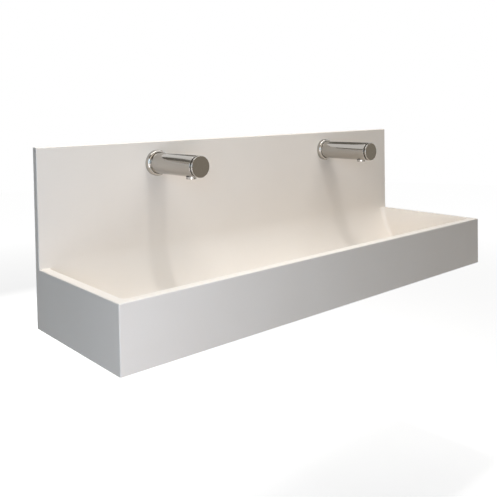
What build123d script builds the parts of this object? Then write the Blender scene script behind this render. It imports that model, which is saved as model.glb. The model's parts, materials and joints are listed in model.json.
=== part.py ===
from build123d import *
import os
from math import acos, asin, cos, sin

# A wall-hung wash trough for two people, fabricated in solid surface. A tall upstand
# curves down into a shallow bowl with a square apron and a flat rim. Two round chrome
# wall taps stand on the upstand, each with a push button for its end face.
#
# Sizes are in millimetres. X runs along the trough, the wall is the plane Y = 0, the
# front faces -Y and Z is up. The pieces are drawn with Z = 0 at the underside of the
# apron and written out with the origin at the middle of the wall bolt pattern.

# Trough
trough_length = 1200
trough_depth = 350
apron_height = 130
upstand_rise = 260
sheet_thickness = 15
rim_width = 20
outer_edge_round = 2.5
upstand_edge_round = 2

# Bowl
bowl_depth = 100
cove_start_rise = 20
cove_radius = 180
heel_radius = 24
front_corner_radius = 25
end_corner_radius = 12

# Wall brackets under the floor
bracket_end_distance = 180
bracket_width = 50
bracket_thickness = 8
bracket_bend_radius = 6
bracket_leg_clearance = 2
bracket_front_gap = 30
bracket_end_round = 5
wall_hole_radius = 4.5
wall_hole_pitch = 36
floor_screw_wall_gap = 105
floor_screw_front_gap = 65
floor_screw_radius = 3
floor_screw_hole_clearance = 0.4
floor_screw_head_radius = 5.5
floor_screw_head_height = 3.3
floor_screw_socket_radius = 2
floor_screw_socket_depth = 1.8
floor_screw_grip = 7
insert_radius = 4.5
insert_length = 10
insert_hole_extra = 0.5
bond_clearance = 0.05
thread_clearance = 0.1
thread_relief_width = 2
thread_relief_depth = 0.8

# Waste outlet
waste_x = 0
waste_y = -190
dish_depth = 3
dish_radius = 65
waste_flange_radius = 35
waste_flange_thickness = 3.5
waste_flange_gap = 0.5
waste_seal_thickness = 1.5
waste_seal_width = 8
waste_thread_radius = 23.9
waste_bore_radius = 20
waste_hole_clearance = 1.1
waste_tail_length = 72
grid_radius = 30
grid_thickness = 1.5
grid_fit = 0.3
grid_hole_radius = 2.4
grid_hole_counts = (8, 14, 20)
grid_circle_radii = (13.5, 20.5, 26.5)
waste_bar_width = 6
waste_bar_height = 6
waste_bar_drop = 7
waste_boss_radius = 6
grid_screw_radius = 2.5
grid_screw_head_radius = 4.5
grid_screw_head_height = 1.2
grid_screw_slot_width = 1
waste_washer_radius = 33
waste_washer_thickness = 3
waste_nut_flats = 60
waste_nut_height = 10

# Taps, measured outwards from the front face of the upstand
tap_spacing = 600
tap_height_above_rim = 208
tap_projection = 178
tap_radius = 25
tap_edge_round = 0.8
rose_radius = 31
rose_thickness = 12
rose_round = 5
rose_clearance = 0.3
tap_seal_thickness = 1.5
tap_seal_radius = 22
cartridge_bore_radius = 19
cartridge_bore_depth = 78
water_way_radius = 7
tail_radius = 10.4
tail_wall = 3.2
tail_engagement = 24
tail_reach_behind_wall = 42
tail_hole_clearance = 0.8

# Push button
button_travel = 4
button_stop_gap = 0.5
button_head_thickness = 4
button_head_inset = 0.2
button_face_round = 1
button_skirt_length = 6.5
button_skirt_wall = 4.5
button_skirt_clearance = 0.4
stem_radius = 4
stem_clearance = 0.3
stem_length = 68
stop_collar_radius = 7
stop_collar_thickness = 6
stop_collar_gap = 0.3
gland_thickness = 6
gland_setback = 7
spring_outer_radius = 12
spring_inner_radius = 6
spring_end_gap = 0.1

# Valve cartridge inside the tap body
cartridge_length = 28
cartridge_clearance = 0.1
cartridge_bore_extra = 0.5
cartridge_stem_bore_depth = 20
cartridge_port_radius = 2.5
cartridge_port_circle = 12.5
cartridge_port_count = 6
cartridge_groove_depth = 2
cartridge_groove_width = 3
cartridge_groove_setback = 8

# Outlet nozzle under the tap body
nozzle_distance = 142
nozzle_seat_cut = 2.5
nozzle_radius = 12
nozzle_drop = 6
nozzle_seat_clearance = 0.6
nozzle_stem_radius = 9.8
nozzle_stem_height = 5.5
nozzle_stem_clearance = 0.2
nozzle_bore_radius = 8
nozzle_lip_radius = 7
nozzle_lip_height = 1.5
nozzle_edge_chamfer = 0.8
nozzle_gasket_thickness = 1
nozzle_gasket_radius = 11.5
flow_insert_clearance = 0.15
flow_insert_height = 8
flow_hole_radius = 0.9
flow_hole_counts = (1, 6, 12)
flow_circle_radii = (0, 2.6, 5.2)

# Grub screw of the rose
grub_radius = 2
grub_clearance = 0.15
grub_tip_gap = 0.1
grub_recess = 0.4
grub_socket_radius = 1
grub_socket_depth = 2

# Fixings of the tap behind the upstand
back_washer_radius = 20
back_washer_thickness = 3
back_plate_thickness = 2
back_plate_clearance = 0.4
back_nut_flats = 30
back_nut_height = 7

# How far a cutting shape stands proud of what it cuts
cut_overshoot = 1

# Levels and faces that follow from the sizes
quarter_turn = asin(1)
rim_z = apron_height
floor_z = rim_z - bowl_depth
floor_under_z = floor_z - sheet_thickness
upstand_top_z = rim_z + upstand_rise
cove_start_z = rim_z + cove_start_rise
half_length = trough_length / 2
bracket_x = half_length - bracket_end_distance
inner_half_length = half_length - rim_width
front_y = -trough_depth
inner_front_y = front_y + rim_width
floor_screw_y = (-floor_screw_wall_gap, inner_front_y + floor_screw_front_gap)
upstand_face_y = -sheet_thickness
cove_turn = asin((cove_start_z - heel_radius - floor_z) / (cove_radius - heel_radius))
cove_centre = (upstand_face_y - cove_radius, cove_start_z)
heel_centre = (
    cove_centre[0] + (cove_radius - heel_radius) * cos(cove_turn),
    cove_centre[1] - (cove_radius - heel_radius) * sin(cove_turn),
)
arm_under_z = floor_under_z - bracket_thickness
cove_back_radius = cove_radius + sheet_thickness
leg_angle = acos(1 - (bracket_thickness + bracket_leg_clearance) / cove_back_radius)
leg_top_z = cove_start_z - cove_back_radius * sin(leg_angle)
leg_flat_low_z = floor_under_z + bracket_bend_radius
wall_pattern_z = (leg_flat_low_z + leg_top_z) / 2
tap_z = rim_z + tap_height_above_rim
dish_z = floor_z - dish_depth
waste_seat_z = dish_z - waste_flange_thickness - waste_seal_thickness
flange_under_z = waste_seat_z + waste_seal_thickness
waste_end_z = flange_under_z - waste_tail_length
waste_nut_low_z = floor_under_z - waste_washer_thickness - waste_nut_height
back_nut_outer_face = -sheet_thickness - back_washer_thickness - back_plate_thickness - back_nut_height
button_gap = button_travel + button_stop_gap
button_back = tap_projection - button_head_thickness
body_front = button_back - button_gap
cartridge_seat = body_front - cartridge_bore_depth
gland_front = body_front - gland_setback
gland_back = gland_front - gland_thickness
nozzle_seat_level = -(tap_radius - nozzle_seat_cut)
nozzle_top_level = nozzle_seat_level - nozzle_gasket_thickness
nozzle_end_level = nozzle_top_level - nozzle_drop
skirt_radius = cartridge_bore_radius - button_skirt_clearance


def block(x_range, y_range, z_range):
    """A box between two corners."""
    size = [high - low for low, high in (x_range, y_range, z_range)]
    middle = [(high + low) / 2 for low, high in (x_range, y_range, z_range)]
    return Pos(*middle) * Box(*size)


def rod(radius, low, high):
    """A round bar along Z from one level to another."""
    return Pos(0, 0, low) * Cylinder(radius, high - low, align=(Align.CENTER, Align.CENTER, Align.MIN))


def ring(outer_radius, inner_radius, low, high):
    """A plain ring or tube along Z."""
    return rod(outer_radius, low, high) - rod(inner_radius, low, high)


def thread_relief(radius, nut_face):
    """The shallow groove in a thread just below a nut's outer face."""
    return ring(radius, radius - thread_relief_depth, nut_face - thread_relief_width, nut_face)


def hexagon(flats, low, high):
    """A hexagonal bar along Z, measured across its flats."""
    sketch = RegularPolygon(flats / 2, 6, major_radius=False)
    return Pos(0, 0, low) * extrude(sketch, high - low)


def circle_point(centre, radius, angle):
    """A point on an arc of the bowl's section, turned down from the horizontal."""
    return (centre[0] + radius * cos(angle), centre[1] - radius * sin(angle))


def section_arc(centre, radius, start, end):
    """An arc of the bowl's section through its middle."""
    points = [circle_point(centre, radius, angle) for angle in (start, (start + end) / 2, end)]
    return ThreePointArc(*points)


def bowl_arcs():
    """The arcs of the bowl's section: the cove, the heel and the front corner."""
    corner_centre = (inner_front_y + front_corner_radius, floor_z + front_corner_radius)
    cove_arc = section_arc(cove_centre, cove_radius, 0, cove_turn)
    heel_arc = section_arc(heel_centre, heel_radius, cove_turn, quarter_turn)
    corner_arc = section_arc(corner_centre, front_corner_radius, quarter_turn, 2 * quarter_turn)
    return cove_arc, heel_arc, corner_arc


def along_trough(section, half_width):
    """A section in the YZ plane made into a solid along X, to both sides."""
    return extrude(Plane.YZ * make_face(section), half_width, both=True)


def curved_back(half_width):
    """The bent sheet of the upstand and the cove, down to the flat floor."""
    cove_arc, heel_arc, _ = bowl_arcs()
    cove_back = section_arc(cove_centre, cove_back_radius, 0, cove_turn)
    heel_back = section_arc(heel_centre, heel_radius + sheet_thickness, cove_turn, quarter_turn)
    outline = [
        Polyline(cove_arc @ 0, (upstand_face_y, upstand_top_z), (0, upstand_top_z), cove_back @ 0),
        cove_back,
        heel_back,
        Line(heel_back @ 1, heel_arc @ 1),
        heel_arc,
        cove_arc,
    ]
    return along_trough(outline, half_width)


def upstand():
    """The splashback from the rim upwards, the full length of the trough."""
    above_rim = block((-half_length, half_length), (front_y, 0), (rim_z, upstand_top_z))
    panel = curved_back(half_length) & above_rim
    front_edges = panel.edges().filter_by(Axis.Z).group_by(Axis.Y)[0]
    top_edges = panel.edges().filter_by(Axis.X).group_by(Axis.Z)[-1].group_by(Axis.Y)[0]
    panel = fillet(front_edges + top_edges, upstand_edge_round)
    for side in (-1, 1):
        hole = rod(tail_radius + tail_hole_clearance, -2 * sheet_thickness, sheet_thickness)
        panel -= tap_place(side) * hole
    return panel


def cove():
    """The curve from the upstand down to the floor, between the end panels."""
    below_rim = block((-half_length, half_length), (front_y, 0), (-apron_height, rim_z))
    return curved_back(inner_half_length) & below_rim


def bowl_floor():
    """The floor with its front cove, the dish for the outlet and the screw inserts' holes."""
    low, high = floor_under_z, floor_z
    corner_arc = bowl_arcs()[-1]
    back_y = heel_centre[0]
    outline = [
        corner_arc,
        Polyline(corner_arc @ 1, (inner_front_y, low), (back_y, low), (back_y, high), corner_arc @ 0),
    ]
    slab = along_trough(outline, inner_half_length)
    dish_foot = waste_flange_radius + waste_flange_gap
    on_low_end = (Align.CENTER, Align.CENTER, Align.MIN)
    dish = Pos(0, 0, dish_z) * Cone(dish_foot, dish_radius, dish_depth, align=on_low_end)
    seat = rod(dish_foot, waste_seat_z, floor_z)
    hole = rod(waste_thread_radius + waste_hole_clearance, floor_under_z, floor_z)
    slab -= Pos(waste_x, waste_y, 0) * (dish + seat + hole)
    depth = insert_length + insert_hole_extra
    for x, y in floor_screw_points():
        slab -= Pos(x, y, 0) * rod(insert_radius + bond_clearance, floor_under_z, floor_under_z + depth)
    return slab


def bowl_space(corner_radius):
    """The open space of the bowl, with the curve that its two ends have."""
    cove_arc, heel_arc, corner_arc = bowl_arcs()
    outline = [
        cove_arc,
        heel_arc,
        Line(heel_arc @ 1, corner_arc @ 0),
        corner_arc,
        Polyline(corner_arc @ 1, (inner_front_y, cove_start_z), cove_arc @ 0),
    ]
    space = along_trough(outline, inner_half_length)
    if corner_radius:
        ends = space.faces().sort_by(Axis.X)
        space = fillet(ends[0].edges() + ends[-1].edges(), corner_radius)
    return space


def apron_frame():
    """The apron round the front and both ends, in one piece with its rim and end coves."""
    outside = block((-half_length, half_length), (front_y, 0), (0, rim_z))
    corners = outside.edges().filter_by(Axis.Z).group_by(Axis.Y)[0]
    outside = fillet(corners, outer_edge_round)
    top_edges = outside.faces().sort_by(Axis.Z)[-1].edges()
    top_edges = [edge for edge in top_edges if edge.center().Y < -outer_edge_round / 2]
    outside = fillet(top_edges, outer_edge_round)
    heights = (-cut_overshoot, rim_z + cut_overshoot)
    inside = block((-inner_half_length, inner_half_length), (inner_front_y, cut_overshoot), heights)
    frame = outside - inside
    end_coves = bowl_space(0) - bowl_space(end_corner_radius)
    end_coves &= block((-half_length, half_length), (front_y, 0), (0, rim_z))
    return frame, end_coves


def apron_pieces():
    """The front apron and the two end panels, glued along the inner face of the apron."""
    frame, end_coves = apron_frame()
    heights = (-cut_overshoot, rim_z + cut_overshoot)
    reach = half_length + cut_overshoot
    front_zone = block((-reach, reach), (front_y - cut_overshoot, inner_front_y), heights)
    pieces = {"front_apron": frame & front_zone}
    for name, side in (("left", -1), ("right", 1)):
        end_zone = block(sorted((0, side * reach)), (inner_front_y, cut_overshoot), heights)
        pieces[f"end_panel_{name}"] = (frame & end_zone) + (end_coves & end_zone)
    return pieces


def bracket_points():
    """The places of the two brackets along the trough."""
    return (-bracket_x, bracket_x)


def floor_screw_points():
    """Where the brackets are screwed up into the floor."""
    return [(x, y) for x in bracket_points() for y in floor_screw_y]


def bracket(x):
    """A flat steel bar bent to an L: a leg on the wall and an arm under the floor."""
    arm_front_y = inner_front_y + bracket_front_gap
    outer_bend = bracket_bend_radius + bracket_thickness
    leg = block((-bracket_width / 2, bracket_width / 2), (-bracket_thickness, 0), (arm_under_z, leg_top_z))
    arm = block((-bracket_width / 2, bracket_width / 2), (arm_front_y, 0), (arm_under_z, floor_under_z))
    bar = leg + arm
    cross_edges = bar.edges().filter_by(Axis.X)
    inner_edge = cross_edges.sort_by_distance((0, -bracket_thickness, floor_under_z))[0]
    bar = fillet(inner_edge, bracket_bend_radius)
    outer_edge = bar.edges().filter_by(Axis.X).sort_by_distance((0, 0, arm_under_z))[0]
    bar = fillet(outer_edge, outer_bend)
    bar = fillet(bar.edges().filter_by(Axis.Z).group_by(Axis.Y)[0], bracket_end_round)
    bar = fillet(bar.edges().filter_by(Axis.Y).group_by(Axis.Z)[-1], bracket_end_round)
    for height in (-wall_hole_pitch / 2, wall_hole_pitch / 2):
        hole = rod(wall_hole_radius, -bracket_thickness, bracket_thickness)
        bar -= Pos(0, 0, wall_pattern_z + height) * Rot(90, 0, 0) * hole
    for y in floor_screw_y:
        hole = rod(floor_screw_radius + floor_screw_hole_clearance, arm_under_z, floor_under_z)
        bar -= Pos(0, y, 0) * hole
    return Pos(x, 0, 0) * bar


def floor_insert():
    """A threaded brass insert glued up into the underside of the floor."""
    top = floor_under_z + insert_length
    return ring(insert_radius, floor_screw_radius + thread_clearance, floor_under_z, top)


def floor_screw():
    """A button-head screw from below through the bracket's arm into the insert."""
    head = rod(floor_screw_head_radius, arm_under_z - floor_screw_head_height, arm_under_z)
    head = fillet(head.edges().group_by(Axis.Z)[0], floor_screw_head_height / 2)
    shank = rod(floor_screw_radius, arm_under_z, floor_under_z + floor_screw_grip)
    head_end = arm_under_z - floor_screw_head_height
    socket = hexagon(2 * floor_screw_socket_radius, head_end, head_end + floor_screw_socket_depth)
    return head + shank - socket


def waste_body():
    """The flanged outlet with its threaded tail and the bar that holds the grid."""
    top = dish_z
    body = rod(waste_flange_radius, flange_under_z, top)
    body += rod(waste_thread_radius, waste_end_z, flange_under_z)
    body -= rod(waste_bore_radius, waste_end_z, top)
    body -= rod(grid_radius + grid_fit, top - grid_thickness, top)
    bar_top = flange_under_z - waste_bar_drop
    bar_low = bar_top - waste_bar_height
    reach = waste_bore_radius + waste_bar_width / 2
    bar = block((-reach, reach), (-waste_bar_width / 2, waste_bar_width / 2), (bar_low, bar_top))
    boss = rod(waste_boss_radius, bar_low, bar_top)
    body += (bar & rod(waste_thread_radius, bar_low, bar_top)) + boss
    body -= rod(grid_screw_radius + thread_clearance, bar_low, bar_top)
    return body - thread_relief(waste_thread_radius, waste_nut_low_z)


def waste_grid():
    """The round perforated strainer that drops into the flange."""
    top = dish_z
    plate = rod(grid_radius, top - grid_thickness, top)
    for count, circle in zip(grid_hole_counts, grid_circle_radii):
        for place in PolarLocations(circle, count):
            plate -= place * rod(grid_hole_radius, top - grid_thickness, top)
    plate -= rod(grid_screw_radius + thread_clearance, top - grid_thickness, top)
    return plate


def grid_screw():
    """The slotted screw that holds the strainer down."""
    top = dish_z
    head_top = top + grid_screw_head_height
    bar_top = flange_under_z - waste_bar_drop
    screw = rod(grid_screw_head_radius, top, head_top)
    screw = fillet(screw.edges().group_by(Axis.Z)[-1], grid_screw_head_height / 2)
    screw += rod(grid_screw_radius, bar_top - waste_bar_height, top)
    reach = grid_screw_head_radius
    half_slot = grid_screw_slot_width / 2
    slot_low = top + grid_screw_head_height / 2
    return screw - block((-reach, reach), (-half_slot, half_slot), (slot_low, head_top))


def waste_pieces():
    """The outlet and what seals and fixes it, in place in the floor."""
    inner = waste_thread_radius + thread_clearance
    seal_inner = waste_flange_radius - waste_seal_width
    washer_low = waste_nut_low_z + waste_nut_height
    nut = hexagon(waste_nut_flats, waste_nut_low_z, washer_low) - rod(inner, waste_nut_low_z, washer_low)
    pieces = {
        "waste_body": waste_body(),
        "waste_grid": waste_grid(),
        "waste_grid_screw": grid_screw(),
        "waste_flange_seal": ring(waste_flange_radius, seal_inner, waste_seat_z, flange_under_z),
        "waste_under_washer": ring(waste_washer_radius, inner, washer_low, floor_under_z),
        "waste_back_nut": nut,
    }
    return {name: Pos(waste_x, waste_y, 0) * piece for name, piece in pieces.items()}


def tap_place(side):
    """From a tap's own frame, outwards along Z and up along Y, to its place on the upstand."""
    return Pos(side * tap_spacing / 2, upstand_face_y, tap_z) * Rot(90, 0, 0)


def downwards(piece):
    """A piece drawn along Z stood upright under the tap at the nozzle."""
    return Pos(0, 0, nozzle_distance) * Rot(-90, 0, 0) * piece


def tap_body():
    """The round body with its cartridge bore, water way and seat for the nozzle."""
    body = rod(tap_radius, tap_seal_thickness, body_front)
    body = fillet(body.edges().group_by(Axis.Z)[-1], tap_edge_round)
    body -= rod(cartridge_bore_radius, cartridge_seat, body_front)
    body -= rod(water_way_radius, tap_seal_thickness, cartridge_seat)
    body -= rod(tail_radius + bond_clearance, tap_seal_thickness, tap_seal_thickness + tail_engagement)
    low = -tap_radius - cut_overshoot
    seat = rod(nozzle_radius + nozzle_seat_clearance, low, nozzle_seat_level)
    hole = rod(nozzle_stem_radius + nozzle_stem_clearance, low, 0)
    return body - downwards(seat + hole)


def tap_rose():
    """The round cover plate that the body passes through, with its grub screw hole."""
    cover = rod(rose_radius, 0, rose_thickness)
    cover = fillet(cover.edges().group_by(Axis.Z)[-1], rose_round)
    cover -= rod(tap_radius + rose_clearance, 0, rose_thickness)
    hole = rod(grub_radius + grub_clearance, -rose_radius - cut_overshoot, 0)
    return cover - Pos(0, 0, rose_thickness / 2) * Rot(-90, 0, 0) * hole


def grub_screw():
    """The socket screw in the underside of the rose."""
    low = -rose_radius + grub_recess
    screw = rod(grub_radius, low, -tap_radius - grub_tip_gap)
    screw -= hexagon(2 * grub_socket_radius, low, low + grub_socket_depth)
    return Pos(0, 0, rose_thickness / 2) * Rot(-90, 0, 0) * screw


def push_button():
    """The end cap that is pressed, with the skirt that guides it in the body."""
    head = rod(tap_radius - button_head_inset, button_back, tap_projection)
    head = fillet(head.edges().group_by(Axis.Z)[-1], button_face_round)
    skirt_back = button_back - button_skirt_length
    skirt = ring(skirt_radius, skirt_radius - button_skirt_wall, skirt_back, button_back)
    return head + skirt


def button_stem():
    """The stem behind the button, with the collar that stops it in the gland."""
    collar_front = gland_back - stop_collar_gap
    stem = rod(stem_radius, button_back - stem_length, button_back)
    return stem + rod(stop_collar_radius, collar_front - stop_collar_thickness, collar_front)


def valve_gland():
    """The ring screwed into the body that the stem slides through."""
    outer = cartridge_bore_radius - cartridge_clearance
    return ring(outer, stem_radius + stem_clearance, gland_back, gland_front)


def valve_cartridge():
    """The timed valve at the back of the bore, with its ports and seal groove."""
    front = cartridge_seat + cartridge_length
    outer = cartridge_bore_radius - cartridge_clearance
    body = rod(outer, cartridge_seat, front)
    body -= rod(stem_radius + cartridge_bore_extra, front - cartridge_stem_bore_depth, front)
    for place in PolarLocations(cartridge_port_circle, cartridge_port_count):
        body -= place * rod(cartridge_port_radius, cartridge_seat, front)
    return body - groove_ring(outer)


def groove_ring(outer):
    """The ring of space in the cartridge that its seal fills."""
    low = cartridge_seat + cartridge_groove_setback
    return ring(outer, outer - cartridge_groove_depth, low, low + cartridge_groove_width)


def nozzle():
    """The outlet screwed into the seat under the body."""
    shape = rod(nozzle_radius, nozzle_end_level, nozzle_top_level)
    shape = chamfer(shape.edges().group_by(Axis.Z)[0], nozzle_edge_chamfer)
    stem_top = nozzle_top_level + nozzle_stem_height
    shape += rod(nozzle_stem_radius, nozzle_top_level, stem_top)
    shape -= rod(nozzle_bore_radius, nozzle_end_level + nozzle_lip_height, stem_top)
    shape -= rod(nozzle_lip_radius, nozzle_end_level, stem_top)
    return downwards(shape)


def flow_insert():
    """The perforated insert that rests on the nozzle's lip and smooths the jet."""
    low = nozzle_end_level + nozzle_lip_height
    plug = rod(nozzle_bore_radius - flow_insert_clearance, low, low + flow_insert_height)
    for count, circle in zip(flow_hole_counts, flow_circle_radii):
        for place in PolarLocations(circle, count):
            plug -= place * rod(flow_hole_radius, low, low + flow_insert_height)
    return downwards(plug)


def nozzle_gasket():
    """The flat seal between the nozzle and its seat."""
    inner = nozzle_stem_radius + nozzle_stem_clearance
    return downwards(ring(nozzle_gasket_radius, inner, nozzle_top_level, nozzle_seat_level))


def tap_tail():
    """The threaded inlet that passes through the upstand into the wall."""
    back = -sheet_thickness - tail_reach_behind_wall
    tail = ring(tail_radius, tail_radius - tail_wall, back, tap_seal_thickness + tail_engagement)
    return tail - thread_relief(tail_radius, back_nut_outer_face)


def back_fixings():
    """The soft washer, plate and nut that hold the tap from behind."""
    face = -sheet_thickness
    plate_front = face - back_washer_thickness
    nut_front = plate_front - back_plate_thickness
    nut = hexagon(back_nut_flats, back_nut_outer_face, nut_front)
    nut -= rod(tail_radius + thread_clearance, back_nut_outer_face, nut_front)
    plate_hole = tail_radius + back_plate_clearance
    return {
        "back_washer": ring(back_washer_radius, plate_hole, plate_front, face),
        "back_plate": ring(back_washer_radius, plate_hole, nut_front, plate_front),
        "back_nut": nut,
    }


def tap_pieces():
    """Every piece of one tap, in the tap's own frame."""
    spring_back = gland_front + spring_end_gap
    spring_front = button_back - spring_end_gap
    outer = cartridge_bore_radius - cartridge_clearance
    pieces = {
        "body": tap_body(),
        "rose": tap_rose(),
        "grub_screw": grub_screw(),
        "wall_seal": ring(tap_seal_radius, tail_radius + back_plate_clearance, 0, tap_seal_thickness),
        "button": push_button(),
        "button_stem": button_stem(),
        "button_spring": ring(spring_outer_radius, spring_inner_radius, spring_back, spring_front),
        "gland": valve_gland(),
        "cartridge": valve_cartridge(),
        "cartridge_seal": groove_ring(outer),
        "nozzle": nozzle(),
        "flow_insert": flow_insert(),
        "nozzle_gasket": nozzle_gasket(),
        "tail": tap_tail(),
    }
    pieces.update(back_fixings())
    return pieces


def all_pieces():
    """Every node of the trough by name, with the apron's underside at Z = 0."""
    pieces = {"upstand": upstand(), "bowl_cove": cove(), "bowl_floor": bowl_floor()}
    pieces.update(apron_pieces())
    pieces["bracket_left"] = bracket(-bracket_x)
    pieces["bracket_right"] = bracket(bracket_x)
    screw_places = [Pos(x, y, 0) for x, y in floor_screw_points()]
    pieces["floor_inserts"] = Compound(children=[place * floor_insert() for place in screw_places])
    pieces["bracket_screws"] = Compound(children=[place * floor_screw() for place in screw_places])
    pieces.update(waste_pieces())
    for name, side in (("left", -1), ("right", 1)):
        for piece_name, piece in tap_pieces().items():
            pieces[f"tap_{piece_name}_{name}"] = tap_place(side) * piece
    return pieces


os.makedirs("parts", exist_ok=True)
for node, solid in all_pieces().items():
    export_step(Pos(0, 0, -wall_pattern_z) * solid, f"parts/{node}.step")
print("wall bolt pattern above the apron's underside:", round(wall_pattern_z, 3))
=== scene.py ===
import json
import math

import bmesh
import bpy
from bpy.props import FloatProperty, FloatVectorProperty, IntProperty, PointerProperty
from mathutils import Matrix, Vector


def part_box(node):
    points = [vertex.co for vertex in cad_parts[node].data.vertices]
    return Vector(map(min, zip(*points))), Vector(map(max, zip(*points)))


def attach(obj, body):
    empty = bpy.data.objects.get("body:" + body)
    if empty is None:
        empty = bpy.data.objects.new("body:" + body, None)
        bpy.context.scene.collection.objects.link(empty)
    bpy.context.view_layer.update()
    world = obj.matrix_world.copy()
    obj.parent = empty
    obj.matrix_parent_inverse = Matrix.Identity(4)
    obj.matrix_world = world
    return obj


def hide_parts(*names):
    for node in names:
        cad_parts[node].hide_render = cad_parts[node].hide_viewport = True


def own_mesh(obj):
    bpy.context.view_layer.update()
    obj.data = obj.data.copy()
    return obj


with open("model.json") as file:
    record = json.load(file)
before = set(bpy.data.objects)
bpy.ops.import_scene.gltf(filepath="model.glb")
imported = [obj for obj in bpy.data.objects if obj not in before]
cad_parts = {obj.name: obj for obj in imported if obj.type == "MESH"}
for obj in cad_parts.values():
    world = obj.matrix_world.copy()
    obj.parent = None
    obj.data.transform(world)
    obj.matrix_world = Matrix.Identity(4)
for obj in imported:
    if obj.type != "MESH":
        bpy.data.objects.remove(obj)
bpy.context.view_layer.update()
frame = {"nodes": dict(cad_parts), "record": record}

bl_info = {
    "name": "Wash trough",
    "version": (1, 0, 0),
    "blender": (4, 5, 0),
    "location": "3D View > Sidebar > Wash trough",
    "description": "Builds the looks of a wall-hung wash trough round its CAD model",
    "category": "Object",
}

MM = 0.001
SIDES = ("left", "right")
ROOT_BODY = "trough"
FULL_TURN = 2 * math.pi
QUARTER_TURN = math.pi / 2
HALF_FLAT = math.pi / 6
EDGE_BREAK = 0.3 * MM
CUT_PAST = 1 * MM
THREAD_GAP = 0.1 * MM
MERGE = 0.002 * MM
SAME_PLANE = math.radians(0.3)
SHARP_EDGE = math.radians(40)
SMOOTH_BELOW = math.radians(35)
ALONG_X = (1, 0, 0)
ALONG_Z = (0, 0, 1)

SHELL_NODES = ("upstand", "bowl_cove", "bowl_floor", "front_apron", "end_panel_left", "end_panel_right")


def node_size(name, axis):
    """The extent of a CAD node along one axis, in metres."""
    low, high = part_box(name)
    return high[axis] - low[axis]


def node_middle(name):
    """The middle of a CAD node's box."""
    low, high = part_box(name)
    return (low + high) / 2


def length(title, description, default):
    """A size in metres that a user can change."""
    return FloatProperty(name=title, description=description, default=default, min=0.0, precision=4,
                         unit="LENGTH")


def level(title, description, default):
    """A place along one axis that a user can change."""
    return FloatProperty(name=title, description=description, default=default, precision=4, unit="LENGTH")


def linear(hex_colour):
    """An sRGB colour such as E8E2D8 as linear red, green, blue and alpha."""
    parts = [int(hex_colour[i:i + 2], 16) / 255 for i in (0, 2, 4)]
    return [c / 12.92 if c <= 0.04045 else ((c + 0.055) / 1.055) ** 2.4 for c in parts] + [1.0]


def colour(title, description, hex_colour):
    """A colour that a user can change."""
    return FloatVectorProperty(name=title, description=description, default=linear(hex_colour), size=4,
                               min=0.0, max=1.0, subtype="COLOR")


class WashTroughShell(bpy.types.PropertyGroup):
    """Sizes of the solid-surface shell."""
    half_length: length("Half length", "Half of the trough's length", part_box("upstand")[1].x)
    front_y: level("Front", "Front face of the apron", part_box("front_apron")[0].y)
    bottom_z: level("Bottom", "Underside of the apron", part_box("front_apron")[0].z)
    rim_z: level("Rim", "Top of the apron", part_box("front_apron")[1].z)
    top_z: level("Top", "Top edge of the upstand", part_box("upstand")[1].z)
    rim_width: length("Rim width", "Width of the flat rim", node_size("front_apron", 1))
    sheet: length("Sheet thickness", "Thickness of the upstand, the cove and the floor", 15 * MM)
    bowl_depth: length("Bowl depth", "From the rim down to the floor of the bowl", 100 * MM)
    cove_rise: length("Cove rise", "Height above the rim where the cove leaves the upstand", 20 * MM)
    cove_radius: length("Cove radius", "Large curve from the upstand down to the floor", 180 * MM)
    heel_radius: length("Heel radius", "Small curve where the cove meets the floor", 24 * MM)
    front_radius: length("Front corner radius", "Curve between the floor and the front", 25 * MM)
    end_radius: length("End corner radius", "Curve between the floor and the ends", 12 * MM)
    outer_round: length("Outer edge round", "Sanded round of the outer edges", 2.5 * MM)
    arris_round: length("Inner arris round", "Sanded round where the rim turns down into the bowl", 1.5 * MM)
    dish_radius: length("Dish radius", "Shallow dish round the outlet", 65 * MM)
    outlet_hole: length("Outlet hole radius", "Hole through the floor for the outlet", 25 * MM)
    flange_recess: length("Flange recess radius", "Recess that the outlet's flange lies in", 35.5 * MM)
    tap_hole: length("Tap hole radius", "Hole through the upstand for the tap's inlet", 11.2 * MM)
    insert_hole: length("Insert hole radius", "Blind hole for a threaded insert", 4.55 * MM)
    insert_depth: length("Insert hole depth", "Depth of the hole for a threaded insert", 10.5 * MM)


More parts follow.
